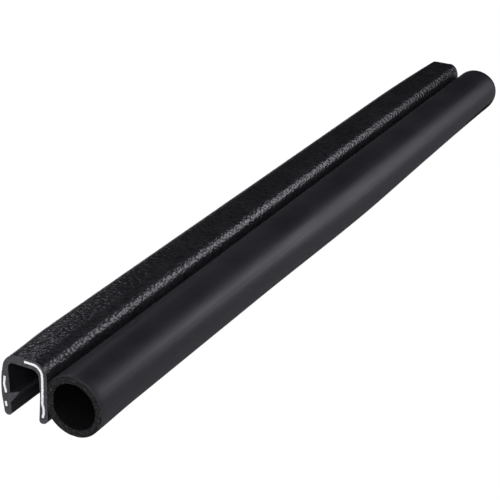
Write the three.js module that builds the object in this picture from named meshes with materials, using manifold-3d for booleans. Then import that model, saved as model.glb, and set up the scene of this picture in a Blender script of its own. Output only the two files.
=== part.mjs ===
// Edge trim seal: a grained PVC channel that grips the edge of a panel, a slotted metal
// strip inside its walls, and a hollow sponge bulb bonded along one leg.
// Millimetres, +Z up. The seal runs along X and lies on the floor at z = 0, on its free
// leg and on its bulb. The channel opens downwards and the bulb is on the +Y side.

import * as THREE from "three";
import { mergeVertices } from "three/addons/utils/BufferGeometryUtils.js";
import Module from "manifold-3d";

const wasm = await Module();
wasm.setup();

// Whole seal
const length = 200;
const trimWidth = 10.6; // the channel over both legs
const trimHeight = 13.57;

// Metal strip in the channel's walls, with its room in the PVC
const stripThickness = 0.5;
const stripClearance = 0.12; // round the strip on every side
const stripShift = -0.09; // across, to one side of its room
const bulbBendRadius = 2.1; // at the middle of the strip, over the leg beside the bulb
const freeBendRadius = 2.7; // and over the free leg
const stripEdgeHeight = 1.8; // of the strip's two edges above the floor
const freeLegCrimp = 0.2; // the strip's wave in the free leg, to either side
const bulbLegCrimp = 0.12;

// PVC on the outer and inner side of the strip
const roofOuterCover = 0.4;
const roofInnerCover = 0.7;
const freeLegOuterCover = 0.42;
const freeLegInnerCover = 0.4;
const bulbLegOuterCover = 0.44;
const bulbLegInnerCover = 0.18;

// The free leg bows outwards, and its inner face leans in from the roof to the end
const freeLegLean = 0.6;
const freeLegEndInset = 0.65; // outer face at the leg's end, in from the widest place
const shoulderInset = 0.95; // outer face at the shoulder, in from the widest place
const shoulderDrop = 0.35; // the shoulder is this much lower than the top
const crownFromBulbLeg = 6.1; // the roof is highest this far from the bulb's leg
const crownRadius = 20;
const bowBottom = 4.4; // the widest stretch of the outer face starts here
const bowTop = 8.0;
const bowRadius = 12;

// The leg beside the bulb is thinnest half way up
const bulbLegTaper = 0.25; // thicker by this much at the roof
const toeThickening = 0.4; // and by this much at its toe
const waistHeight = 6.5;
const waistRadius = 14;
const toeLift = 0.45; // its end stays this far above the floor

// Rounded corners of the channel
const freeLegEndRadius = 0.85;
const toeOuterRadius = 1.3;
const toeInnerRadius = 0.6;
const freeShoulderRadius = 3.4;
const bulbShoulderRadius = 2.9;
const freeRoofCornerRadius = 1.3;
const bulbRoofCornerRadius = 1.6;

// Gripping fin on the free leg's inner face, pointing in and up
const finRootHeight = 2.95;
const finRootDepth = 2.0;
const finReach = 2.45;
const finRise = 1.2; // of its tip over the top of its root
const finTipRadius = 0.18;

// Slots across the strip, by turns on the free side and on the bulb side
const slotPitch = 10;
const slotWidth = 2.4;
const slotRoofReach = 0.25; // the upper slot ends this far past the middle of the roof
const shoulderSlotDrop = 4.4; // and starts this far below the strip's top
const legSlotLift = 1.05; // the lower slot is this far above the strip's edge
const legSlotHeight = 2.0;

// Sponge bulb, resting on the floor and flattened where it is bonded to the leg
const bulbDiameter = 12.7;
const bulbWall = 1.6;
const bondDepth = 0.67; // how much of the round the bond takes off
const bondWall = 1.3;
const bondCornerRadius = 0.5;
const boreCornerRadius = 1.5;
const boreShift = 0.14; // the bore lies this far off centre, away from the bond

// Fineness of the round stretches
const cornerStep = Math.PI / 12; // on the channel and the bulb
const bendStep = Math.PI / 8; // on the strip
const bulbSteps = 40;
const boreSteps = 32;
const fullestSide = 0.96; // the most of a side that the arcs at its ends take

// Places worked out from the sizes above
const stripRoom = stripThickness + 2 * stripClearance;
const roofThickness = roofOuterCover + stripRoom + roofInnerCover;
const freeLegThickness = freeLegOuterCover + 2 * freeLegCrimp + stripRoom + freeLegInnerCover;
const waistThickness = bulbLegOuterCover + 2 * bulbLegCrimp + stripRoom + bulbLegInnerCover;
const roofUnderside = trimHeight - roofThickness;
const stripTop = trimHeight - roofOuterCover - stripRoom / 2;
const bulbRadius = bulbDiameter / 2;
const bondDistance = bulbRadius - bondDepth; // from the bulb's middle to the bond
const freeSide = -(trimWidth + bondDistance + bulbRadius) / 2;
const bondFace = freeSide + trimWidth;
const bulbMiddle = bondFace + bondDistance;
const roofMiddle = (freeSide + bondFace) / 2;

// Turns corners [across, up, radius] into points, with an arc where there is a radius.
// Two arcs that ask for more than the side between them share it.
function rounded(corners, arcStep, closed = true) {
  const count = corners.length;
  const places = corners.map(([across, up]) => new THREE.Vector2(across, up));
  const before = (i) => (i - 1 + count) % count;
  const after = (i) => (i + 1) % count;
  const turns = places.map((place, i) => {
    const back = places[before(i)].clone().sub(place);
    const ahead = places[after(i)].clone().sub(place);
    return Math.PI - back.angleTo(ahead);
  });
  const wanted = corners.map(([, , radius], i) => {
    const isEnd = !closed && (i === 0 || i === count - 1);
    return isEnd ? 0 : radius * Math.tan(turns[i] / 2);
  });
  const share = (i, neighbour) => {
    const side = places[i].distanceTo(places[neighbour]);
    return Math.min(1, (fullestSide * side) / (wanted[i] + wanted[neighbour]));
  };
  const points = [];
  places.forEach((corner, i) => {
    if (!wanted[i]) {
      points.push(corner);
      return;
    }
    const reach = wanted[i] * Math.min(share(i, before(i)), share(i, after(i)));
    const radius = reach / Math.tan(turns[i] / 2);
    const back = places[before(i)].clone().sub(corner).normalize();
    const ahead = places[after(i)].clone().sub(corner).normalize();
    const inwards = back.clone().add(ahead).normalize();
    const middle = corner.clone().addScaledVector(inwards, radius / Math.cos(turns[i] / 2));
    const start = corner.clone().addScaledVector(back, reach);
    const way = Math.sign(ahead.cross(back));
    const steps = Math.max(2, Math.ceil(turns[i] / arcStep));
    for (let k = 0; k <= steps; k++) {
      points.push(start.clone().rotateAround(middle, (way * turns[i] * k) / steps));
    }
  });
  return points;
}

function addArc(points, across, up, radius, from, to, steps) {
  for (let k = 0; k <= steps; k++) {
    const angle = from + ((to - from) * k) / steps;
    const point = new THREE.Vector2(Math.cos(angle), Math.sin(angle)).multiplyScalar(radius);
    points.push(point.add(new THREE.Vector2(across, up)));
  }
}

// A round whose -Y side is cut flat at a distance from its middle, with rounded corners.
function flattenedRound(across, radius, flatDistance, cornerRadius, steps) {
  const points = [];
  if (flatDistance >= radius) {
    addArc(points, across, 0, radius, 0, 2 * Math.PI, steps);
    points.pop();
    return points;
  }
  const corner = Math.min(cornerRadius, flatDistance / 2);
  const inset = flatDistance - corner;
  const rise = Math.sqrt((radius - corner) ** 2 - inset ** 2);
  const side = Math.PI - Math.atan2(rise, inset);
  const cornerSteps = Math.max(2, Math.ceil((Math.PI - side) / cornerStep));
  addArc(points, across - inset, -rise, corner, -Math.PI, -side, cornerSteps);
  points.pop();
  addArc(points, across, 0, radius, -side, side, steps);
  points.pop();
  addArc(points, across - inset, rise, corner, side, Math.PI, cornerSteps);
  return points;
}

// Runs a section, drawn across Y and up Z, along X to both sides of the middle.
function alongSeal(outline, runLength, hole = null) {
  const shape = new THREE.Shape(outline);
  if (hole) shape.holes.push(new THREE.Path(hole));
  const geometry = new THREE.ExtrudeGeometry(shape, { depth: runLength, bevelEnabled: false });
  geometry.translate(0, 0, -runLength / 2);
  const across = new THREE.Vector3(0, 1, 0);
  const up = new THREE.Vector3(0, 0, 1);
  const along = new THREE.Vector3(1, 0, 0);
  return geometry.applyMatrix4(new THREE.Matrix4().makeBasis(across, up, along));
}

function toSolid(geometry) {
  const bare = geometry.clone();
  bare.deleteAttribute("normal");
  bare.deleteAttribute("uv");
  const merged = mergeVertices(bare);
  const mesh = new wasm.Mesh({
    numProp: 3,
    vertProperties: merged.attributes.position.array,
    triVerts: new Uint32Array(merged.index.array),
  });
  return new wasm.Manifold(mesh);
}

function toGeometry(solid) {
  const mesh = solid.getMesh();
  const geometry = new THREE.BufferGeometry();
  geometry.setAttribute("position", new THREE.BufferAttribute(mesh.vertProperties, 3));
  geometry.setIndex(new THREE.BufferAttribute(mesh.triVerts, 1));
  geometry.computeVertexNormals();
  return geometry;
}

// Section of the PVC channel with its fin, from the free leg's end round to its shoulder.
function channelOutline() {
  const middleHeight = roofUnderside / 2;
  const freeInner = (up) =>
    freeSide + freeLegThickness + (freeLegLean * (middleHeight - up)) / roofUnderside;
  const finRootTop = finRootHeight + finRootDepth;
  const corners = [
    [freeSide + freeLegEndInset, 0, freeLegEndRadius],
    [freeInner(0), 0, freeLegEndRadius],
    [freeInner(finRootHeight), finRootHeight, 0],
    [freeInner(finRootTop) + finReach, finRootTop + finRise, finTipRadius],
    [freeInner(finRootTop), finRootTop, 0],
    [freeInner(roofUnderside), roofUnderside, freeRoofCornerRadius],
    [bondFace - waistThickness - bulbLegTaper, roofUnderside, bulbRoofCornerRadius],
    [bondFace - waistThickness, waistHeight, waistRadius],
    [bondFace - waistThickness - toeThickening, toeLift, toeInnerRadius],
    [bondFace, toeLift, toeOuterRadius],
    [bondFace, trimHeight, bulbShoulderRadius],
    [bondFace - crownFromBulbLeg, trimHeight, crownRadius],
    [freeSide + shoulderInset, trimHeight - shoulderDrop, freeShoulderRadius],
    [freeSide, bowTop, bowRadius],
    [freeSide, bowBottom, bowRadius],
  ];
  return rounded(corners, cornerStep);
}

// Middle line of the strip as corners [across, up, radius], from its free edge over the roof.
function stripLine() {
  const free = freeSide + freeLegOuterCover + freeLegCrimp + stripRoom / 2;
  const bulb = bondFace - bulbLegOuterCover - bulbLegCrimp - stripRoom / 2;
  const legSlotBottom = stripEdgeHeight + legSlotLift;
  const legSlotTop = legSlotBottom + legSlotHeight;
  const shoulderSlotBottom = stripTop - shoulderSlotDrop;
  return [
    [free + freeLegCrimp, stripEdgeHeight, 0],
    [free, legSlotBottom, 0],
    [free + freeLegCrimp, legSlotTop, 0],
    [free - freeLegCrimp, (legSlotTop + shoulderSlotBottom) / 2, 0],
    [free, shoulderSlotBottom, 0],
    [free + freeLegCrimp, stripTop, freeBendRadius],
    [bulb, stripTop, bulbBendRadius],
    [bulb, shoulderSlotBottom, 0],
    [bulb - bulbLegCrimp, legSlotTop, 0],
    [bulb + bulbLegCrimp, (legSlotTop + legSlotBottom) / 2, 0],
    [bulb + bulbLegCrimp, legSlotBottom, 0],
    [bulb - bulbLegCrimp, stripEdgeHeight, 0],
  ];
}

// Section of the strip, grown by a margin on every side and moved across by a shift.
function stripOutline(margin, shift) {
  const line = stripLine();
  const points = line.map(([across, up]) => new THREE.Vector2(across + shift, up));
  const directions = points.slice(1).map((point, i) => point.clone().sub(points[i]).normalize());
  points[0].addScaledVector(directions[0], -margin);
  points[points.length - 1].addScaledVector(directions[directions.length - 1], margin);
  const side = (distance) => {
    const corners = points.map((point, i) => {
      const before = directions[Math.max(0, i - 1)];
      const after = directions[Math.min(directions.length - 1, i)];
      const along = before.clone().add(after);
      const outwards = new THREE.Vector2(-along.y, along.x);
      const moved = outwards.multiplyScalar((2 * distance) / along.lengthSq()).add(point);
      const bendRadius = line[i][2];
      return [moved.x, moved.y, bendRadius ? bendRadius + distance : 0];
    });
    return rounded(corners, bendStep, false);
  };
  const half = stripThickness / 2 + margin;
  return [...side(half), ...side(-half).reverse()];
}

// The slots' shapes as blocks through the strip, smaller by a margin on every side.
function slotBlocks(margin) {
  const legSlotBottom = stripEdgeHeight + legSlotLift + margin;
  const legSlotTop = stripEdgeHeight + legSlotLift + legSlotHeight - margin;
  const shoulderSlotBottom = stripTop - shoulderSlotDrop + margin;
  const blocks = [];
  const addBlock = (x, fromY, toY, fromZ, toZ) => {
    const box = new THREE.BoxGeometry(slotWidth - 2 * margin, toY - fromY, toZ - fromZ);
    box.translate(x, (fromY + toY) / 2, (fromZ + toZ) / 2);
    blocks.push(toSolid(box));
  };
  const rows = Math.floor((2 * length) / slotPitch);
  for (let row = 0; row <= rows; row++) {
    const x = length / 2 - (row * slotPitch) / 2;
    if (row % 2 === 0) {
      addBlock(x, freeSide, roofMiddle + slotRoofReach - margin, shoulderSlotBottom, trimHeight);
      addBlock(x, freeSide, roofMiddle, legSlotBottom, legSlotTop);
    } else {
      addBlock(x, roofMiddle - slotRoofReach + margin, bondFace, shoulderSlotBottom, trimHeight);
      addBlock(x, roofMiddle, bondFace, legSlotBottom, legSlotTop);
    }
  }
  return blocks;
}

function slottedStrip(margin, shift, runLength) {
  let strip = toSolid(alongSeal(stripOutline(margin, shift), runLength));
  for (const block of slotBlocks(margin)) strip = strip.subtract(block);
  return strip;
}

const grainedPvc = new THREE.MeshStandardMaterial({ color: 0x1b1b1d, roughness: 0.45, metalness: 0 });
const bareMetal = new THREE.MeshStandardMaterial({ color: 0xd8dadd, roughness: 0.3, metalness: 1 });
const sponge = new THREE.MeshStandardMaterial({ color: 0x242428, roughness: 0.6, metalness: 0 });

function trimChannel() {
  const solid = toSolid(alongSeal(channelOutline(), length));
  const room = slottedStrip(stripClearance, 0, length + slotPitch);
  const mesh = new THREE.Mesh(toGeometry(solid.subtract(room)), grainedPvc);
  mesh.name = "trim_channel";
  return mesh;
}

function coreStrip() {
  const mesh = new THREE.Mesh(toGeometry(slottedStrip(0, stripShift, length)), bareMetal);
  mesh.name = "core_strip";
  return mesh;
}

function bulbSeal() {
  const outer = flattenedRound(0, bulbRadius, bondDistance, bondCornerRadius, bulbSteps);
  const boreRadius = bulbRadius - bulbWall;
  const boreFlat = bondDistance - bondWall + boreShift;
  const bore = flattenedRound(boreShift, boreRadius, boreFlat, boreCornerRadius, boreSteps);
  const mesh = new THREE.Mesh(alongSeal(outer, length, bore), sponge);
  mesh.name = "bulb_seal";
  mesh.position.set(0, bulbMiddle, bulbRadius);
  return mesh;
}

const seal = new THREE.Group();
seal.add(trimChannel(), coreStrip(), bulbSeal());

export default seal;
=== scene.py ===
import math

import bmesh
import bpy
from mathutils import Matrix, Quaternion, Vector, noise


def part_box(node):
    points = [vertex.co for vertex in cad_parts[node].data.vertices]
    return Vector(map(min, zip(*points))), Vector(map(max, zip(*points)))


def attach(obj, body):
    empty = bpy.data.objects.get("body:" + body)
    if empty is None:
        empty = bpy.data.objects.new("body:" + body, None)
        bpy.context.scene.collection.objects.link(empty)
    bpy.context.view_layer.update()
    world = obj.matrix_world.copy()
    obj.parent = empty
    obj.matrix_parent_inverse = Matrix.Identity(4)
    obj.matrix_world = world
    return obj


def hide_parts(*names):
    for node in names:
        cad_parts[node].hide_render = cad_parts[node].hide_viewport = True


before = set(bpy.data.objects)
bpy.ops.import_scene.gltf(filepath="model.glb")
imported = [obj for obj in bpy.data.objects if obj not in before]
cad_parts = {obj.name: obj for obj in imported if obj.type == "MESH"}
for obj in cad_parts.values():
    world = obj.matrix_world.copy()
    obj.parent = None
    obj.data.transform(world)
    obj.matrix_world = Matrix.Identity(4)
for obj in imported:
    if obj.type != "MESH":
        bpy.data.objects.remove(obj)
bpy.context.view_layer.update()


# Core strip: a thin steel strip bent to a U, with slots lanced across it by turns from either
# side so that the trim bends round corners. The PVC is extruded round it, and it shows only at
# the cut ends, where the blade has left it bright.
MM = 0.001
same_place = 1e-7  # m between two corners that count as one
channel_low, channel_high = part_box("trim_channel")
channel_length = channel_high.x - channel_low.x
channel_middle_y = (channel_low.y + channel_high.y) / 2
arc_step = math.radians(7.5)
fullest_side = 0.96  # the most of a side that the roundings at its two ends take

strip_thickness = 0.5 * MM
strip_clearance = 0.12 * MM
strip_shift = -0.09 * MM
strip_proud = 0.03 * MM
strip_sharp_from = 40  # degrees between two faces
room_overrun = 5 * MM
slot_pitch = 10 * MM
slot_width = 2.4 * MM
slot_roof_reach = 0.25 * MM
leg_slot_from = 2.85
leg_slot_to = 4.85
shoulder_slot_from = 8.4

# Both shoulders of the channel, and the strip in them, are pressed in towards the far cut.
free_shoulder_press = 0.75 * MM
bulb_shoulder_press = 0.35 * MM
press_reach = 40 * MM
press_from_up = 7.5 * MM
press_rise = 4 * MM
shoulder_depth = 3.2 * MM  # from the outer faces in to the middle of a shoulder's curve

bright_cut = (0.95, 0.98, 0.92)
smeared_cut = (0.87, 0.89, 0.84)
line_dip, line_crest = 0.2, 0.8  # the range that the fine lines along a surface really fill

# Middle line of the strip, from its free edge over the roof to its other edge:
# across from the free side, up from the floor, bend radius (mm)
strip_line = [
    (1.19, 1.8, 0),
    (0.99, leg_slot_from, 0),
    (1.19, leg_slot_to, 0),
    (0.79, 6.625, 0),
    (0.99, shoulder_slot_from, 0),
    (1.19, 12.8, 2.7),
    (9.67, 12.8, 2.1),
    (9.67, shoulder_slot_from, 0),
    (9.55, leg_slot_to, 0),
    (9.79, 3.85, 0),
    (9.79, leg_slot_from, 0),
    (9.55, 1.8, 0),
]


def at(x, across, up):
    """A place from mm across from the channel's free side and mm up from the floor."""
    return Vector((x, channel_low.y + across * MM, channel_low.z + up * MM))


def roundings(places, radii):
    """How far from each corner its rounding starts, and how many facets it takes."""
    count = len(places)
    turns = []
    for i, place in enumerate(places):
        back, ahead = places[i - 1] - place, places[(i + 1) % count] - place
        turns.append(math.pi - back.angle(ahead))
    wanted = [radius * math.tan(turn / 2) for radius, turn in zip(radii, turns)]
    found = []
    for i, place in enumerate(places):
        share = 1
        for j in ((i - 1) % count, (i + 1) % count):
            side = (places[j] - place).length
            if wanted[i] + wanted[j] > fullest_side * side:
                share = min(share, fullest_side * side / (wanted[i] + wanted[j]))
        found.append((wanted[i] * share, max(2, math.ceil(turns[i] / arc_step))))
    return found


def run_out(bm, grown, distance):
    """Carries the new corners of an extrusion along the seal."""
    corners = [part for part in grown if isinstance(part, bmesh.types.BMVert)]
    bmesh.ops.translate(bm, verts=corners, vec=(distance, 0, 0))


def new_piece(name, bm):
    mesh = bpy.data.meshes.new(name)
    bm.to_mesh(mesh)
    bm.free()
    piece = bpy.data.objects.new(name, mesh)
    bpy.context.collection.objects.link(piece)
    return piece


def apply_modifiers(piece):
    seen = piece.evaluated_get(bpy.context.evaluated_depsgraph_get())
    made = bpy.data.meshes.new_from_object(seen)
    piece.modifiers.clear()
    piece.data = made


def shade_smooth(piece, degrees):
    """Smooth to look at, but with an edge wherever two faces meet at more than these degrees."""
    piece.data.polygons.foreach_set("use_smooth", [True] * len(piece.data.polygons))
    piece.data.set_sharp_from_angle(angle=math.radians(degrees))


def ease(share):
    """Runs smoothly from 0 to 1, and stays there."""
    share = max(0, min(1, share))
    return share * share * (3 - 2 * share)


def on_free_shoulder(facing):
    """1 on a face that looks out over the free shoulder, and less on one turned away."""
    return max(0, facing.z - facing.y) ** 2 / 2


def on_bulb_shoulder(facing):
    return max(0, facing.z + facing.y) ** 2 / 2


def press_shoulders(piece):
    """Moves the walls of a piece inwards, all together, where its far end was pressed."""
    for corner in piece.data.vertices:
        place = corner.co
        press = max(0, 1 - (place.x - channel_low.x) / press_reach) ** 2
        press *= ease((place.z - channel_low.z - press_from_up) / press_rise)
        if press == 0:
            continue
        beside = min(max(place.y, channel_low.y + shoulder_depth), channel_high.y - shoulder_depth)
        under = min(place.z, channel_high.z - shoulder_depth)
        outwards = Vector((0, place.y - beside, place.z - under))
        press *= min(1, outwards.length / MM)
        facing = outwards.normalized()
        press *= (free_shoulder_press * on_free_shoulder(facing)
                  + bulb_shoulder_press * on_bulb_shoulder(facing))
        corner.co = place - facing * press


def slotted_strip(name, margin, shift, x_from, x_to):
    """The strip between two places along the seal, grown by a margin all round."""
    bm = bmesh.new()
    places = [at(x_from, across, up) + Vector((0, shift, 0)) for across, up, radius in strip_line]
    places[0] += (places[0] - places[1]).normalized() * margin
    places[-1] += (places[-1] - places[-2]).normalized() * margin
    line = [bm.verts.new(place) for place in places]
    edges = [bm.edges.new(pair) for pair in zip(line, line[1:])]
    run_out(bm, bmesh.ops.extrude_edge_only(bm, edges=edges)["geom"], x_to - x_from)
    bends = roundings(places, [radius * MM for across, up, radius in strip_line])
    for corner, (reach, facets) in zip(line, bends):
        if reach:
            fold = [edge for edge in corner.link_edges
                    if edge.other_vert(corner).co.x > x_from + MM]
            bmesh.ops.bevel(bm, geom=fold, offset=reach, segments=facets, profile=0.5,
                            affect="EDGES", material=-1)

    rows = int(2 * channel_length / slot_pitch) + 1
    row_places = [channel_high.x - row * slot_pitch / 2 for row in range(rows)]
    half_slot = slot_width / 2 - margin
    leg_from = at(0, 0, leg_slot_from).z + margin
    leg_to = at(0, 0, leg_slot_to).z - margin
    shoulder_from = at(0, 0, shoulder_slot_from).z + margin
    past_middle = slot_roof_reach - margin
    cuts = [(x + side * half_slot, 0, 0) for x in row_places for side in (-1, 1)]
    cuts += [(0, channel_middle_y + side * past_middle, 0) for side in (-1, 1)]
    cuts += [(0, 0, height) for height in (leg_from, leg_to, shoulder_from)]
    for cut in cuts:
        across_cut = Vector([1 if value else 0 for value in cut])
        bmesh.ops.bisect_plane(bm, geom=bm.verts[:] + bm.edges[:] + bm.faces[:],
                               dist=same_place, plane_co=cut, plane_no=across_cut)
    slots = []
    for face in bm.faces:
        middle = face.calc_center_median()
        row = round((channel_high.x - middle.x) / (slot_pitch / 2))
        if not 0 <= row < rows or abs(middle.x - row_places[row]) > half_slot:
            continue
        from_middle = (middle.y - channel_middle_y) * (1 if row % 2 == 0 else -1)
        in_shoulder_slot = middle.z > shoulder_from and from_middle < past_middle
        in_leg_slot = leg_from < middle.z < leg_to and from_middle < 0
        if in_shoulder_slot or in_leg_slot:
            slots.append(face)
    bmesh.ops.delete(bm, geom=slots, context="FACES")
    strip = new_piece(name, bm)
    wall = strip.modifiers.new("wall", "SOLIDIFY")
    wall.thickness = strip_thickness + 2 * margin
    wall.offset = 0
    wall.use_even_offset = True
    apply_modifiers(strip)
    return strip


def add_node(tree, kind, inputs=None, **settings):
    """A node with its settings, and its inputs given a value or joined to an output."""
    node = tree.nodes.new(kind)
    for name, value in settings.items():
        setattr(node, name, value)
    for name, value in (inputs or {}).items():
        if isinstance(value, bpy.types.NodeSocket):
            tree.links.new(value, node.inputs[name])
        else:
            node.inputs[name].default_value = value
    return node


def new_group(name, numbers, results):
    """A node group that takes plain numbers and puts out values that change over the surface."""
    group = bpy.data.node_groups.new(name, "ShaderNodeTree")
    for title, usual in numbers.items():
        taken = group.interface.new_socket(title, in_out="INPUT", socket_type="NodeSocketFloat")
        taken.default_value = usual
    for title in results:
        group.interface.new_socket(title, in_out="OUTPUT", socket_type="NodeSocketFloat")
    return group, group.nodes.new("NodeGroupInput"), group.nodes.new("NodeGroupOutput")


def place_in_mm(tree):
    """A point of the surface in millimetres."""
    place = add_node(tree, "ShaderNodeTexCoord").outputs["Object"]
    scaled = add_node(tree, "ShaderNodeVectorMath", {0: place, "Scale": 1 / MM}, operation="SCALE")
    return scaled.outputs["Vector"]


def number(tree, operation, first, second=0.0):
    return add_node(tree, "ShaderNodeMath", {0: first, 1: second}, operation=operation).outputs[0]


def spread(tree, value, low, high, to_low=0.0, to_high=1.0):
    """Maps a value smoothly from one range to another."""
    inputs = {"Value": value, "From Min": low, "From Max": high,
              "To Min": to_low, "To Max": to_high}
    mapped = add_node(tree, "ShaderNodeMapRange", inputs, interpolation_type="SMOOTHSTEP")
    return mapped.outputs["Result"]


def blend(tree, share, first, second):
    """A colour between two, given as linear red, green and blue."""
    mixed = add_node(tree, "ShaderNodeMix", {"Factor": share}, data_type="RGBA")
    for socket, colour in ((mixed.inputs[6], first), (mixed.inputs[7], second)):
        if isinstance(colour, bpy.types.NodeSocket):
            tree.links.new(colour, socket)
        else:
            socket.default_value = (*colour, 1)
    return mixed.outputs[2]


def make_run_lines():
    """Fine lines that a die, a roll or a blade leaves along the seal."""
    group, given, result = new_group("run_lines", {"Pitch": 0.3, "Run": 30.0}, ["Lines"])
    thin = number(group, "DIVIDE", 1.0, given.outputs["Pitch"])
    long = number(group, "DIVIDE", 1.0, given.outputs["Run"])
    scale = add_node(group, "ShaderNodeCombineXYZ", {"X": long, "Y": thin, "Z": thin}).outputs[0]
    inputs = {0: place_in_mm(group), 1: scale}
    drawn = add_node(group, "ShaderNodeVectorMath", inputs, operation="MULTIPLY").outputs["Vector"]
    lines = add_node(group, "ShaderNodeTexNoise", {"Vector": drawn, "Scale": 1.0, "Detail": 3.0})
    group.links.new(lines.outputs["Fac"], result.inputs["Lines"])
    return group


def make_unevenness():
    """Soft patches where a surface is a little duller or brighter."""
    group, given, result = new_group("unevenness", {"Patch": 8.0}, ["Patches"])
    scale = number(group, "DIVIDE", 1.0, given.outputs["Patch"])
    inputs = {"Vector": place_in_mm(group), "Scale": scale, "Detail": 4.0, "Roughness": 0.6}
    cloud = add_node(group, "ShaderNodeTexNoise", inputs).outputs["Fac"]
    group.links.new(spread(group, cloud, 0.3, 0.7), result.inputs["Patches"])
    return group


run_lines = make_run_lines()
unevenness = make_unevenness()


def use_group(tree, group, numbers):
    placed = add_node(tree, "ShaderNodeGroup", node_tree=group)
    for title, value in numbers.items():
        placed.inputs[title].default_value = value
    return placed.outputs


def new_finish(name, **constants):
    """A material with one shader, and the values that are the same all over it."""
    finish = bpy.data.materials.new(name)
    finish.use_nodes = True
    tree = finish.node_tree
    shader = tree.nodes["Principled BSDF"]
    for title, value in constants.items():
        shader.inputs[title.replace("_", " ")].default_value = value
    return finish, tree, shader


def rough_along(tree, lines, smoothest, roughest):
    """Roughness that follows the fine lines along a surface."""
    return spread(tree, lines, line_dip, line_crest, smoothest, roughest)


def raise_surface(tree, shader, height, depth):
    bump = add_node(tree, "ShaderNodeBump", {"Strength": 1.0, "Distance": depth, "Height": height})
    tree.links.new(bump.outputs["Normal"], shader.inputs["Normal"])


def strip_steel():
    """Bright rolled steel, with fine lines along it and a smeared, uneven cut."""
    finish, tree, shader = new_finish("bright_steel", Metallic=1.0)
    lines = use_group(tree, run_lines, {"Pitch": 0.12, "Run": 4.0})["Lines"]
    patches = use_group(tree, unevenness, {"Patch": 0.6})["Patches"]
    colour = blend(tree, patches, bright_cut, smeared_cut)
    tree.links.new(colour, shader.inputs["Base Color"])
    tree.links.new(rough_along(tree, lines, 0.42, 0.62), shader.inputs["Roughness"])
    raise_surface(tree, shader, patches, 0.02 * MM)
    return finish


core = slotted_strip("core_strip_bent", 0, strip_shift,
                     channel_low.x - strip_proud, channel_high.x + strip_proud)
press_shoulders(core)
core.data.materials.append(strip_steel())
shade_smooth(core, strip_sharp_from)
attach(core, "root")
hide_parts("core_strip")


# Grip channel: one flexible PVC extrusion run over the steel, a U that opens downwards with a
# gripping fin inside its free leg. Its outside is embossed with a fine leather grain while warm,
# and both ends are sawn square.

# Corners of the section: across from the free side, up from the floor, radius (mm)
channel_corners = [
    (0.65, 0.0, 0.85),  # end of the free leg
    (2.26, 0.0, 0.85),
    (2.11, 2.95, 0.3),  # fin
    (4.457, 6.15, 0.18),
    (2.007, 4.95, 0.2),
    (1.66, 11.73, 1.3),  # under the roof
    (8.75, 11.73, 1.6),
    (9.0, 6.5, 14.0),
    (8.6, 0.45, 0.6),  # toe of the leg beside the bulb
    (10.6, 0.45, 1.3),
    (10.6, 13.57, 2.9),  # shoulder beside the bulb
    (4.5, 13.57, 20.0),
    (0.95, 13.22, 3.4),  # free shoulder
    (0.0, 8.0, 12.0),
    (0.0, 4.4, 12.0),
]
# Bounds of the outer face: mm across or up
free_face_to = 1.4
roof_face_from = 12.2
bulb_face_from = 9.5

grain_step = 0.27  # mm between the points that carry the grain
grain_pitch = 0.7  # mm from pebble to pebble
grain_depth = 0.032 * MM
pebble_foot = 0.75  # of the pitch, from a pebble's middle down to the deepest valley
grain_fade = 1.0  # mm over which the grain runs out at the skin's borders
free_leg_border = 0.9  # mm up
bulb_leg_border = 9.3
grain_slant = math.radians(40)  # of the fine pebbles, which are drawn out at a slant
grain_squeeze = 0.55
grain_wobble = 0.5  # mm by which their rows wander
wrinkle_share = 0.12  # of a pebble's height
station_rows = 15  # rows of grain between the places where the pressed inner walls can bend
wall_stations = 11
flare = 0.36 * MM  # the free shoulder stands out a little behind the near cut
flare_rise = 14 * MM
flare_reach = 175 * MM
sharp_from = 50  # degrees between two faces

crown_black = (0.0125, 0.0131, 0.0143)
rubbed_crown = (0.0167, 0.0175, 0.0189)
valley_painted_shade = (0.0052, 0.0052, 0.0058)
inner_painted_shade = (0.0045, 0.0045, 0.0048)
inner_painted_shade_grey = (0.0075, 0.0075, 0.008)
sawn_dull, sawn_dull_crumb = (0.012, 0.012, 0.0124), (0.03, 0.03, 0.031)
sawn_pale, sawn_pale_crumb = (0.019, 0.019, 0.0195), (0.049, 0.049, 0.05)
sawn_pore_painted_shade = (0.01, 0.01, 0.0102)
SKIN, SMOOTH, SAWN = range(3)


def across_and_up(place):
    """The mm across from the channel's free side and up from the floor."""
    return (place.y - channel_low.y) / MM, (place.z - channel_low.z) / MM


def is_outside(place):
    """True on the outer face of the channel, and False inside it or on its fin."""
    across, up = across_and_up(place)
    return across < free_face_to or up > roof_face_from or across > bulb_face_from


def is_cut(face):
    """True on a face that was sawn or cut across the seal."""
    return abs(face.normal.x) > 0.5


def grain_share(place):
    """How much of the grain's depth a place on the outer face has."""
    border = free_leg_border if place.y < channel_middle_y else bulb_leg_border
    above_border = across_and_up(place)[1] - border
    return max(0, min(1, above_border / grain_fade))


def grain_height(place):
    """Domed pebbles that meet in valleys, from -1 to 0."""
    nearest = noise.voronoi(place / (grain_pitch * MM))[0][0]
    return -min(1, nearest / pebble_foot) ** 2


def flare_at(place, facing):
    """How far the free shoulder stands out at a place."""
    from_near = channel_high.x - place.x
    along = min(ease(from_near / flare_rise), ease(1 - from_near / flare_reach))
    return flare * along * on_free_shoulder(facing)


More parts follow.
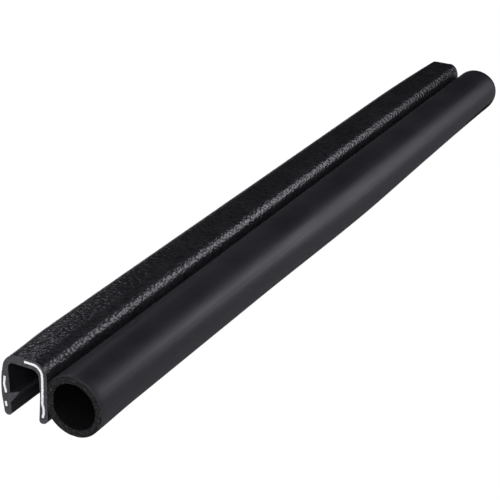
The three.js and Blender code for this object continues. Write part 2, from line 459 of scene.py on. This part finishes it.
def extruded_channel():
    bm = bmesh.new()
    places = [at(channel_low.x, across, up) for across, up, radius in channel_corners]
    face = bm.faces.new([bm.verts.new(place) for place in places])
    arcs = roundings(places, [radius * MM for across, up, radius in channel_corners])
    for corner, (reach, facets) in zip(list(face.verts), arcs):
        bmesh.ops.bevel(bm, geom=[corner], offset=reach, segments=facets, profile=0.5,
                        affect="VERTICES", material=-1)
    for edge in bm.edges[:]:
        pieces = math.ceil(edge.calc_length() / (grain_step * MM))
        if pieces > 1 and all(is_outside(corner.co) for corner in edge.verts):
            bmesh.ops.subdivide_edges(bm, edges=[edge], cuts=pieces - 1)
    run_out(bm, bmesh.ops.extrude_face_region(bm, geom=bm.faces[:])["geom"], channel_length)
    bmesh.ops.recalc_face_normals(bm, faces=bm.faces)
    for face in bm.faces:
        if is_cut(face):
            face.material_index = SAWN
        else:
            face.material_index = SKIN if is_outside(face.calc_center_median()) else SMOOTH
    return new_piece("grip_channel", bm)


def in_section(place):
    """Tells which line along the channel a place is on."""
    return round(place.y / MM, 4), round(place.z / MM, 4)


def let_walls_bend(bm, row_length):
    """Divides the inner walls near the far cut, so that they can be pressed in."""
    walls = [face for face in bm.faces if face.material_index == SMOOTH]
    edges = {edge for face in walls for edge in face.edges}
    corners = {corner for face in walls for corner in face.verts}
    parts = walls + list(edges) + list(corners)
    for station in range(1, wall_stations + 1):
        place = channel_low.x + station * station_rows * row_length
        parts = bmesh.ops.bisect_plane(bm, geom=parts, dist=same_place, plane_co=(place, 0, 0),
                                       plane_no=(1, 0, 0))["geom"]


def emboss(piece):
    """Divides the outer face along the seal and presses the grain into it."""
    bm = bmesh.new()
    bm.from_mesh(piece.data)
    bm.normal_update()
    long_edges = []
    for edge in bm.edges:
        along = edge.calc_length() > channel_length - MM
        if along and is_outside(edge.verts[0].co) and grain_share(edge.verts[0].co) > 0:
            if all(face.material_index == SKIN for face in edge.link_faces):
                long_edges.append(edge)
    outwards = {}
    for edge in long_edges:
        facing = sum((face.normal for face in edge.link_faces), Vector()).normalized()
        outwards[in_section(edge.verts[0].co)] = facing
    cuts = math.ceil(channel_length / (grain_step * MM))
    bmesh.ops.subdivide_edges(bm, edges=long_edges, cuts=cuts, use_grid_fill=True)
    for corner in bm.verts:
        facing = outwards.get(in_section(corner.co))
        if facing:
            height = grain_depth * grain_share(corner.co) * grain_height(corner.co)
            corner.co += facing * (height + flare_at(corner.co, facing))
    let_walls_bend(bm, channel_length / (cuts + 1))
    bm.to_mesh(piece.data)
    bm.free()


def make_leather_grain():
    """Wrinkles finer than the pebbles, and the pebbles' own crowns."""
    group, given, result = new_group("leather_grain", {"Pebble": 0.8, "Wrinkle": 0.3},
                                     ["Height", "Valleys"])
    place = place_in_mm(group)
    wobble = add_node(group, "ShaderNodeTexNoise", {"Vector": place, "Scale": 1.6, "Detail": 2.0})
    inputs = {0: wobble.outputs["Color"], "Scale": grain_wobble}
    pull = add_node(group, "ShaderNodeVectorMath", inputs, operation="SCALE").outputs["Vector"]
    moved = add_node(group, "ShaderNodeVectorMath", {0: place, 1: pull}, operation="ADD")
    inputs = {"Vector": moved.outputs["Vector"], "Angle": grain_slant}
    slanted = add_node(group, "ShaderNodeVectorRotate", inputs, rotation_type="Z_AXIS")
    inputs = {0: slanted.outputs["Vector"], 1: (grain_squeeze, 1.0, 1.0)}
    drawn = add_node(group, "ShaderNodeVectorMath", inputs, operation="MULTIPLY").outputs["Vector"]
    pebble_scale = number(group, "DIVIDE", 1.0, given.outputs["Pebble"])
    inputs = {"Vector": drawn, "Scale": pebble_scale}
    cells = add_node(group, "ShaderNodeTexVoronoi", inputs, feature="F1").outputs["Distance"]
    crown = number(group, "SUBTRACT", 1.0, number(group, "POWER", cells, 2.0))
    wrinkle_scale = number(group, "DIVIDE", 1.0, given.outputs["Wrinkle"])
    inputs = {"Vector": place, "Scale": wrinkle_scale, "Detail": 1.0, "Roughness": 0.5}
    wrinkles = add_node(group, "ShaderNodeTexNoise", inputs).outputs["Fac"]
    height = number(group, "ADD", crown, number(group, "MULTIPLY", wrinkles, wrinkle_share))
    group.links.new(height, result.inputs["Height"])
    group.links.new(spread(group, cells, 0.45, 0.8), result.inputs["Valleys"])
    return group


def make_sawn_face():
    """A cut across the seal: pores or crumbs torn open, and the saw's fine marks."""
    group, given, result = new_group("sawn_face", {"Pore": 0.35, "Mark": 0.25},
                                     ["Height", "Pores", "Crumbs"])
    place = place_in_mm(group)
    inputs = {"Vector": place, "Scale": number(group, "DIVIDE", 1.0, given.outputs["Pore"])}
    cells = add_node(group, "ShaderNodeTexVoronoi", inputs, feature="F1").outputs["Distance"]
    pores = spread(group, cells, 0.45, 0.15)
    inputs["Detail"] = 3.0
    crumbs = spread(group, add_node(group, "ShaderNodeTexNoise", inputs).outputs["Fac"], 0.45, 0.7)
    split = add_node(group, "ShaderNodeSeparateXYZ", {"Vector": place}).outputs
    slanted = number(group, "ADD", split["Z"], number(group, "MULTIPLY", split["Y"], 0.25))
    slanted = number(group, "DIVIDE", slanted, given.outputs["Mark"])
    marks = add_node(group, "ShaderNodeTexNoise", {"W": slanted, "Scale": 1.0, "Detail": 2.0},
                     noise_dimensions="1D").outputs["Fac"]
    height = number(group, "SUBTRACT", number(group, "ADD", crumbs, marks), pores)
    group.links.new(height, result.inputs["Height"])
    group.links.new(pores, result.inputs["Pores"])
    group.links.new(crumbs, result.inputs["Crumbs"])
    return group


leather_grain = make_leather_grain()
sawn_face = make_sawn_face()


def grained_pvc():
    finish, tree, shader = new_finish("grained_pvc", Specular_IOR_Level=0.6)
    grain = use_group(tree, leather_grain, {"Pebble": 0.64, "Wrinkle": 0.3})
    patches = use_group(tree, unevenness, {"Patch": 9.0})["Patches"]
    crowns = blend(tree, patches, crown_black, rubbed_crown)
    # The valleys between the pebbles are painted darker than the crowns, as painted shade.
    colour = blend(tree, grain["Valleys"], crowns, valley_painted_shade)
    tree.links.new(colour, shader.inputs["Base Color"])
    gloss = number(tree, "ADD", spread(tree, grain["Valleys"], 0.0, 1.0, 0.15, 0.33),
                   number(tree, "MULTIPLY", patches, 0.06))
    tree.links.new(gloss, shader.inputs["Roughness"])
    raise_surface(tree, shader, grain["Height"], 0.09 * MM)
    return finish


def smooth_pvc():
    """The inner faces and the fin, drawn smooth by the die. Their colour is painted darker than the
    outer skin's, as painted shade inside the channel.
    """
    finish, tree, shader = new_finish("smooth_pvc", Specular_IOR_Level=0.2)
    lines = use_group(tree, run_lines, {"Pitch": 0.35, "Run": 60.0})["Lines"]
    patches = use_group(tree, unevenness, {"Patch": 5.0})["Patches"]
    tree.links.new(blend(tree, patches, inner_painted_shade, inner_painted_shade_grey), shader.inputs["Base Color"])
    tree.links.new(rough_along(tree, lines, 0.38, 0.52), shader.inputs["Roughness"])
    raise_surface(tree, shader, lines, 0.02 * MM)
    return finish


def sawn_pvc():
    """Greyer than the skin, because the saw roughens it."""
    finish, tree, shader = new_finish("sawn_pvc", Roughness=0.62, Specular_IOR_Level=0.35)
    cut = use_group(tree, sawn_face, {"Pore": 0.22, "Mark": 0.12})
    patches = use_group(tree, unevenness, {"Patch": 0.9})["Patches"]
    dull = blend(tree, cut["Crumbs"], sawn_dull, sawn_dull_crumb)
    pale = blend(tree, cut["Crumbs"], sawn_pale, sawn_pale_crumb)
    # The pores are painted darker than the face around them, as painted shade in the pits.
    colour = blend(tree, cut["Pores"], blend(tree, patches, dull, pale), sawn_pore_painted_shade)
    tree.links.new(colour, shader.inputs["Base Color"])
    raise_surface(tree, shader, cut["Height"], 0.03 * MM)
    return finish


channel = extruded_channel()
room = slotted_strip("strip_room", strip_clearance, 0,
                     channel_low.x - room_overrun, channel_high.x + room_overrun)
for finish in (grained_pvc(), smooth_pvc(), sawn_pvc()):
    channel.data.materials.append(finish)
    room.data.materials.append(finish)
room.data.polygons.foreach_set("material_index", [SMOOTH] * len(room.data.polygons))
hollow = channel.modifiers.new("strip_room", "BOOLEAN")
hollow.operation = "DIFFERENCE"
hollow.solver = "EXACT"
hollow.object = room
apply_modifiers(channel)
bpy.data.objects.remove(room)
emboss(channel)
press_shoulders(channel)
shade_smooth(channel, sharp_from)
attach(channel, "root")
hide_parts("trim_channel")


# Sponge bulb: a hollow bulb of closed-cell sponge rubber with a smooth, satin skin, bonded
# along the outside of one leg. It is extruded and then cut square, so its ends show the open
# sponge.
bulb_low, bulb_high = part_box("bulb_seal")
bulb_radius = (bulb_high.z - bulb_low.z) / 2
bulb_middle_y = bulb_high.y - bulb_radius
bulb_middle_z = (bulb_low.z + bulb_high.z) / 2
bulb_wall = 1.6 * MM
bond_wall = 1.3 * MM
bore_shift = 0.14 * MM
skin_softness = 0.2 * MM  # how softly the skin runs into the flat of the bond
bore_softness = 0.4 * MM
bulb_segments = 128
bulb_stations = 100
swell = 0.27 * MM  # the soft bulb bulges a little half way along its lower side
swell_middle = -10 * MM
swell_reach = 45 * MM
rim_swell = 0.2 * MM  # bulges at the near cut
rim_swell_reach = 14 * MM
pinch = 1.0 * MM  # and is pressed in towards its far end
pinch_from = -15 * MM
lean_angle = math.radians(-38)
rim_rounding = 0.12 * MM

satin_black = (0.0098, 0.0102, 0.0118)
satin_grey = (0.0128, 0.0134, 0.0151)
bore_painted_shade = (0.0009, 0.0009, 0.001)
bore_painted_shade_grey = (0.002, 0.002, 0.0021)
sponge_wall = (0.0048, 0.005, 0.0047)
sponge_crumb = (0.024, 0.0248, 0.0235)
sponge_pit_painted_shade = (0.0012, 0.0013, 0.0012)
OUTER_SKIN, BORE_SKIN, CUT_SPONGE = range(3)


def press_out_of_true(bm):
    """Gives the soft wall its slight unevenness along the seal, without lifting the bond."""
    for corner in bm.verts:
        bulge = swell * ease(1 - abs(corner.co.x - swell_middle) / swell_reach)
        bulge += rim_swell * ease(1 - (bulb_high.x - corner.co.x) / rim_swell_reach)
        dent = pinch * ease((pinch_from - corner.co.x) / (pinch_from - bulb_low.x))
        across, up = corner.co.y - bulb_middle_y, corner.co.z - bulb_middle_z
        off_lean = math.atan2(up, across) - lean_angle
        share = max(0, math.cos(off_lean)) ** 2
        outwards = Vector((0, across, up)).normalized()
        corner.co += outwards * (bulge - dent) * share
        corner.co.z = max(corner.co.z, bulb_low.z)


def extruded_bulb():
    bm = bmesh.new()
    bore_radius = bulb_radius - bulb_wall
    skin = (bulb_radius, 0, bulb_low.y, skin_softness)
    bore = (bore_radius, bore_shift, bulb_low.y + bond_wall, bore_softness)
    for radius, shift, flat, softness in (skin, bore):
        ring = bmesh.ops.create_circle(bm, segments=bulb_segments, radius=radius)["verts"]
        for corner in ring:
            y = bulb_middle_y + shift + corner.co.x
            past = y - flat
            y = flat + (past + math.sqrt(past * past + softness * softness)) / 2
            corner.co = (bulb_low.x, y, bulb_middle_z + corner.co.y)
    wall = bmesh.ops.bridge_loops(bm, edges=bm.edges[:])["faces"]
    run_out(bm, bmesh.ops.extrude_face_region(bm, geom=wall)["geom"], bulb_high.x - bulb_low.x)
    bmesh.ops.recalc_face_normals(bm, faces=bm.faces)
    long_edges = [edge for edge in bm.edges if edge.calc_length() > channel_length - MM]
    rims = [edge for edge in bm.edges if sum(is_cut(face) for face in edge.link_faces) == 1]
    bmesh.ops.subdivide_edges(bm, edges=long_edges, cuts=bulb_stations, use_grid_fill=True)
    bmesh.ops.bevel(bm, geom=rims, offset=rim_rounding, segments=2, profile=0.5,
                    affect="EDGES", material=-1)
    press_out_of_true(bm)
    for face in bm.faces:
        middle = face.calc_center_median()
        from_middle = math.hypot(middle.y - bulb_middle_y, middle.z - bulb_middle_z)
        inside = from_middle < bore_radius + bulb_wall / 2 and middle.y > bulb_low.y + bond_wall / 2
        if is_cut(face):
            face.material_index = CUT_SPONGE
        else:
            face.material_index = BORE_SKIN if inside else OUTER_SKIN
    return new_piece("sponge_bulb", bm)


def bulb_skin():
    """Satin moulded skin with faint lines along it, and a cool, slightly violet black."""
    finish, tree, shader = new_finish("sponge_skin")
    lines = use_group(tree, run_lines, {"Pitch": 0.5, "Run": 90.0})["Lines"]
    patches = use_group(tree, unevenness, {"Patch": 14.0})["Patches"]
    fine = use_group(tree, unevenness, {"Patch": 0.35})["Patches"]
    tree.links.new(blend(tree, patches, satin_black, satin_grey), shader.inputs["Base Color"])
    dull = number(tree, "ADD", rough_along(tree, lines, 0.38, 0.44),
                  number(tree, "MULTIPLY", patches, 0.05))
    tree.links.new(dull, shader.inputs["Roughness"])
    height = number(tree, "ADD", lines, number(tree, "MULTIPLY", fine, 0.35))
    raise_surface(tree, shader, height, 0.012 * MM)
    return finish


def bore_skin():
    finish, tree, shader = new_finish("bore_skin", Specular_IOR_Level=0.06)
    lines = use_group(tree, run_lines, {"Pitch": 0.6, "Run": 50.0})["Lines"]
    patches = use_group(tree, unevenness, {"Patch": 3.0})["Patches"]
    # The bore's skin is painted far darker than the outer skin of the same rubber, as painted shade
    # inside the hollow bulb.
    tree.links.new(blend(tree, patches, bore_painted_shade, bore_painted_shade_grey), shader.inputs["Base Color"])
    tree.links.new(rough_along(tree, lines, 0.6, 0.75), shader.inputs["Roughness"])
    raise_surface(tree, shader, lines, 0.04 * MM)
    return finish


def cut_sponge():
    """Open cells of the sponge: the pits are painted dark, as painted shade inside the cells,
    between paler walls.
    """
    finish, tree, shader = new_finish("cut_sponge", Roughness=0.8, Specular_IOR_Level=0.08)
    cut = use_group(tree, sawn_face, {"Pore": 0.42, "Mark": 0.5})
    walls = blend(tree, cut["Crumbs"], sponge_wall, sponge_crumb)
    colour = blend(tree, cut["Pores"], walls, sponge_pit_painted_shade)
    tree.links.new(colour, shader.inputs["Base Color"])
    raise_surface(tree, shader, cut["Height"], 0.1 * MM)
    return finish


bulb = extruded_bulb()
for finish in (bulb_skin(), bore_skin(), cut_sponge()):
    bulb.data.materials.append(finish)
shade_smooth(bulb, sharp_from)
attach(bulb, "root")
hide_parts("bulb_seal")


# White table: a plain, flat top under the seal, seen evenly white. It throws only a little of
# the lamps' light back up.
table_size = 6.0
table_grey = (0.3, 0.3, 0.3, 1)
seen_brightness = 1.06
seen_share = 0.94  # of what is seen is the even white, and the rest is the lit top
table_bm = bmesh.new()
bmesh.ops.create_grid(table_bm, x_segments=1, y_segments=1, size=table_size / 2)
table = new_piece("white_table", table_bm)
top, top_tree, top_shader = new_finish("table_top", Roughness=0.9, Specular_IOR_Level=0.1)
top_shader.inputs["Base Color"].default_value = table_grey
white_glow = {"Color": (1, 1, 1, 1), "Strength": seen_brightness}
glow = add_node(top_tree, "ShaderNodeEmission", white_glow)
ray = add_node(top_tree, "ShaderNodeLightPath").outputs["Is Camera Ray"]
seen_white = number(top_tree, "MULTIPLY", ray, seen_share)
shown = add_node(top_tree, "ShaderNodeMixShader", {0: seen_white})
top_tree.links.new(top_shader.outputs[0], shown.inputs[1])
top_tree.links.new(glow.outputs[0], shown.inputs[2])
top_tree.links.new(shown.outputs[0], top_tree.nodes["Material Output"].inputs["Surface"])
table.data.materials.append(top)


# Lights: two soft boxes over the camera, one low in front of the cut ends and one beside the
# free leg. Smaller ones beyond the far end draw the bright lines along the bulb and the
# shoulder, and the specks on the roof's grain.
lamp_colour = (0.94, 0.905, 1.0)


def soft_box(name, towards, distance, width, height, power):
    """A flat lamp that looks at the seal from some way off (metres, watts)."""
    box = bpy.data.objects.new(name, bpy.data.lights.new(name, "AREA"))
    bpy.context.collection.objects.link(box)
    box.data.shape = "RECTANGLE"
    box.data.size = width
    box.data.size_y = height
    box.data.energy = power
    box.data.color = lamp_colour
    direction = Vector(towards).normalized()
    box.location = direction * distance
    box.rotation_mode = "QUATERNION"
    box.rotation_quaternion = direction.to_track_quat("Z", "Y")
    box.visible_camera = False


soft_box("front_box", (0.85, 0.15, 0.7), 1.3, 1.4, 1.4, 24.8)
soft_box("bulb_front_box", (0.85, 0.5, 0.45), 1.3, 1.0, 1.0, 10.3)
soft_box("end_box", (0.8, -0.5, 0.12), 1.2, 0.5, 0.3, 7.49)
soft_box("left_box", (0.2, -1.0, 0.5), 1.3, 0.6, 0.5, 2.62)
soft_box("bulb_side_high", (-0.76, 0.5, 0.42), 1.2, 0.5, 0.25, 0.74)
soft_box("bulb_side_near", (-0.62, 0.72, 0.25), 1.2, 0.3, 0.25, 0.5)
soft_box("highlight_box", (-0.773, 0.58, 0.26), 0.388, 0.12, 0.18, 0.17)
soft_box("near_top_box", (-0.477, -0.641, 0.599), 0.304, 0.03, 0.03, 0.0075)
soft_box("free_side_box", (-0.5, -0.6, 0.62), 1.2, 0.12, 0.12, 0.24)

room_light = bpy.data.worlds.new("studio")
room_light.use_nodes = True
world_tree = room_light.node_tree
world_ray = add_node(world_tree, "ShaderNodeLightPath").outputs["Is Camera Ray"]
world_colour = blend(world_tree, world_ray, (0.0, 0.0, 0.0), (1, 1, 1))
world_tree.links.new(world_colour, world_tree.nodes["Background"].inputs["Color"])
bpy.context.scene.world = room_light
bpy.context.scene.view_settings.view_transform = "Standard"


# Camera: a long lens a third of a metre from the near end, above it and on the bulb's side, so
# that the whole length lies across the picture.
picture_width = 500
focal_length_in_pixels = 1721.0
camera_azimuth = math.radians(118.04)
camera_elevation = math.radians(25.54)
camera_roll = math.radians(1.68)
camera_place = (0.329029, 0.163512, 0.172040)
camera = bpy.data.objects.new("camera", bpy.data.cameras.new("camera"))
bpy.context.collection.objects.link(camera)
camera.data.sensor_width = 36
camera.data.lens = camera.data.sensor_width * focal_length_in_pixels / picture_width
camera.data.clip_start = 0.01
camera.location = camera_place
backwards = Vector((math.sin(camera_azimuth) * math.cos(camera_elevation),
                    -math.cos(camera_azimuth) * math.cos(camera_elevation),
                    math.sin(camera_elevation)))
camera.rotation_mode = "QUATERNION"
level = (-backwards).to_track_quat("-Z", "Y")
camera.rotation_quaternion = level @ Quaternion((0, 0, 1), camera_roll)
bpy.context.scene.camera = camera
